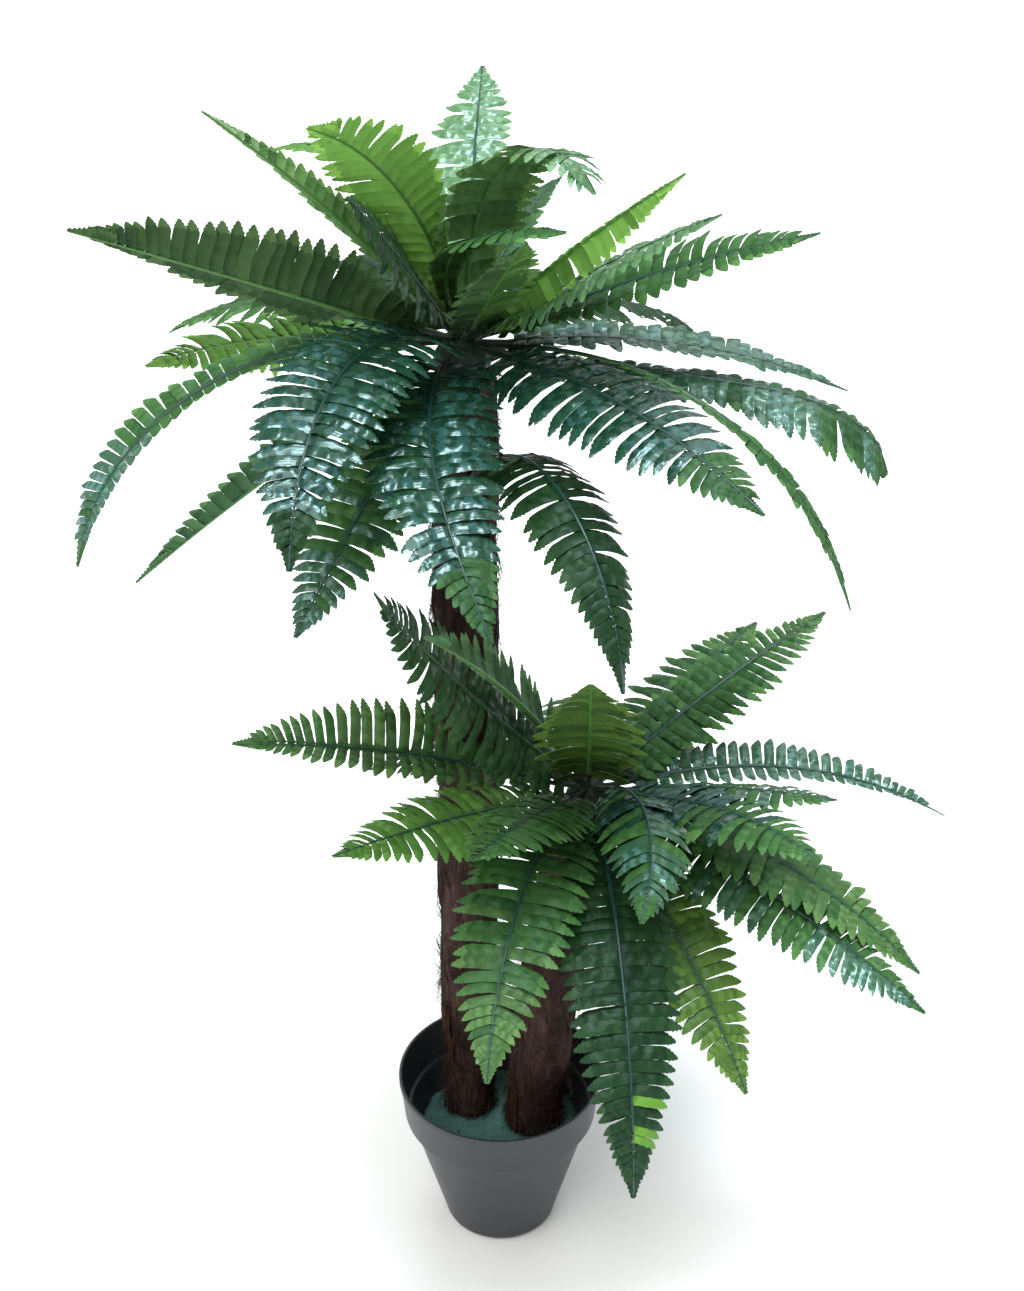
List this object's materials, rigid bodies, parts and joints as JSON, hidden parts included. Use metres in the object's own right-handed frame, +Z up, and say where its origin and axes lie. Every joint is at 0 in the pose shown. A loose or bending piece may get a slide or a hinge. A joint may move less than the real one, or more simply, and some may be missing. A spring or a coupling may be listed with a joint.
{
  "type": "artificial potted tree fern",
  "caption": "Artificial tree fern with two fibre-wrapped trunks, each under a crown of arching cut-fabric fronds, set in a painted fill in a plain round pot.",
  "frame": {"origin": "centre of the pot's flat underside, where the plant stands on the floor", "axes": "+Z up along the trunks; -Y towards the front, where the short trunk stands in front and to the right of the tall one; +X to the right"},
  "size_m": [0.7209, 0.5891, 1.0844],
  "materials": {
    "pot_plastic": "dark grey moulded plastic, slightly shiny",
    "painted_fill": "rough cast fill, painted dark blue-green",
    "trunk_fibre": "dry hairy palm fibre, dark brown",
    "stalk_plastic": "dark green moulded stalks",
    "leaf_fabric": "coated green cloth, satin top and dull underside"
  },
  "bodies": {
    "root": {"pot": "pot_plastic", "fill": "painted_fill", "tall_trunk": "trunk_fibre", "tall_hub": "stalk_plastic", "short_trunk": "trunk_fibre", "short_hub": "stalk_plastic", "tall_frond_01": "leaf_fabric", "tall_frond_02": "leaf_fabric", "tall_frond_03": "leaf_fabric", "tall_frond_04": "leaf_fabric", "tall_frond_05": "leaf_fabric", "tall_frond_06": "leaf_fabric", "tall_frond_07": "leaf_fabric", "tall_frond_08": "leaf_fabric", "tall_frond_09": "leaf_fabric", "tall_frond_10": "leaf_fabric", "tall_frond_11": "leaf_fabric", "tall_frond_12": "leaf_fabric", "tall_frond_13_inner": "leaf_fabric", "tall_frond_13_outer": "leaf_fabric", "tall_frond_14": "leaf_fabric", "tall_frond_15_inner": "leaf_fabric", "tall_frond_15_outer": "leaf_fabric", "tall_frond_16": "leaf_fabric", "tall_frond_17": "leaf_fabric", "tall_frond_18": "leaf_fabric", "tall_frond_19_inner": "leaf_fabric", "tall_frond_19_outer": "leaf_fabric", "tall_frond_20": "leaf_fabric", "tall_frond_21": "leaf_fabric", "tall_frond_22": "leaf_fabric", "tall_frond_23": "leaf_fabric", "tall_frond_24": "leaf_fabric", "tall_frond_25": "leaf_fabric", "tall_frond_26": "leaf_fabric", "tall_frond_27": "leaf_fabric", "tall_frond_28": "leaf_fabric", "tall_frond_29": "leaf_fabric", "tall_frond_30": "leaf_fabric", "short_frond_01": "leaf_fabric", "short_frond_02": "leaf_fabric", "short_frond_03": "leaf_fabric", "short_frond_04": "leaf_fabric", "short_frond_05": "leaf_fabric", "short_frond_06": "leaf_fabric", "short_frond_07": "leaf_fabric", "short_frond_08": "leaf_fabric", "short_frond_09": "leaf_fabric", "short_frond_10": "leaf_fabric", "short_frond_11": "leaf_fabric", "short_frond_12": "leaf_fabric", "short_frond_13": "leaf_fabric", "short_frond_14": "leaf_fabric", "short_frond_15": "leaf_fabric", "short_frond_16": "leaf_fabric", "short_frond_17": "leaf_fabric", "short_frond_18": "leaf_fabric", "short_frond_19": "leaf_fabric", "short_frond_20": "leaf_fabric", "short_frond_21": "leaf_fabric"}
  },
  "joints": []
}
